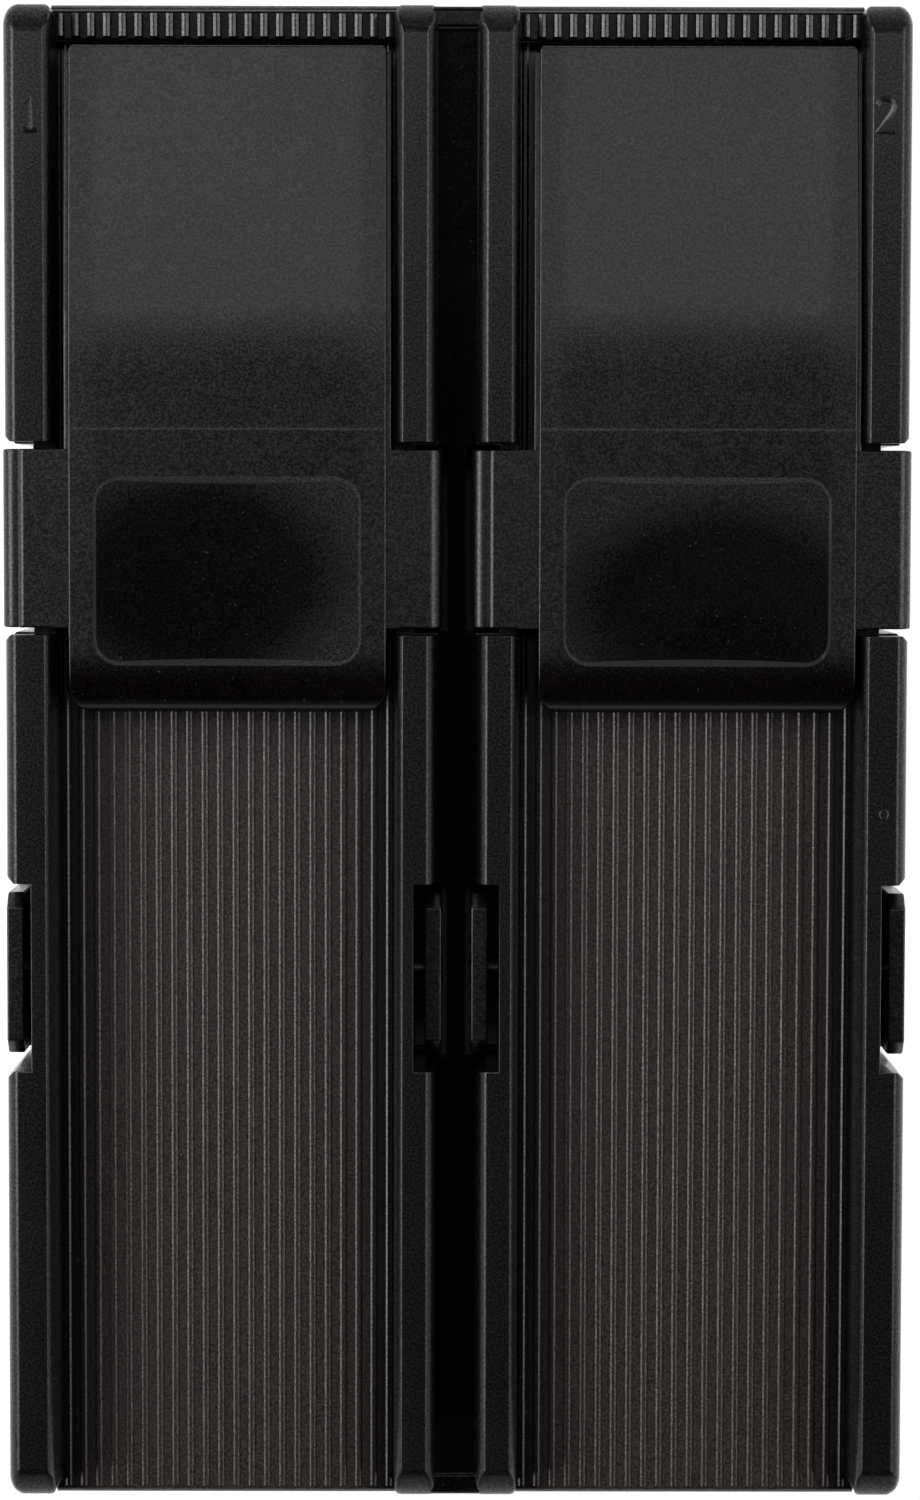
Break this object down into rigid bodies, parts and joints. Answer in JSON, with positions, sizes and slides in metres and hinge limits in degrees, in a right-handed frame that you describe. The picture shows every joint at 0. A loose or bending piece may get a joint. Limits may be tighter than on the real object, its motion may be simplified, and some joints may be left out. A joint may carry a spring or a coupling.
{
  "type": "reed guard",
  "caption": "Flat black holder for clarinet or saxophone reeds, with ribbed channels on both faces and rocking clips that cover the reed tips.",
  "frame": {"origin": "middle of the underside, on the plane of the back rails' tops", "axes": "+X to the right across the channels, +Y towards the covered end of the front channels, +Z out of the front face"},
  "size_m": [0.0508, 0.0848, 0.0104],
  "materials": {
    "body_plastic": "black moulded styrene with a fine grain and a low sheen",
    "clip_plastic": "black moulded styrene, satin, with faint scuffs"
  },
  "bodies": {
    "body": {"body": "body_plastic"},
    "clip_1": {"clip_1": "clip_plastic"},
    "clip_2": {"clip_2": "clip_plastic"},
    "clip_3": {"clip_3": "clip_plastic"},
    "clip_4": {"clip_4": "clip_plastic"}
  },
  "joints": [
    {"name": "clip_1_rock", "type": "hinge", "parent": "body", "child": "clip_1", "pos_m": [-0.0131, 0.01235, 0.0052], "axis": [1, 0, 0], "range_deg": [-3.5, 3.5], "stiffness_Nm_per_rad": 0.16},
    {"name": "clip_2_rock", "type": "hinge", "parent": "body", "child": "clip_2", "pos_m": [0.0131, 0.01235, 0.0052], "axis": [1, 0, 0], "range_deg": [-3.5, 3.5], "stiffness_Nm_per_rad": 0.16},
    {"name": "clip_3_rock", "type": "hinge", "parent": "body", "child": "clip_3", "pos_m": [-0.0131, -0.01235, 0.0052], "axis": [1, 0, 0], "range_deg": [-3.5, 3.5], "stiffness_Nm_per_rad": 0.16},
    {"name": "clip_4_rock", "type": "hinge", "parent": "body", "child": "clip_4", "pos_m": [0.0131, -0.01235, 0.0052], "axis": [1, 0, 0], "range_deg": [-3.5, 3.5], "stiffness_Nm_per_rad": 0.16}
  ]
}
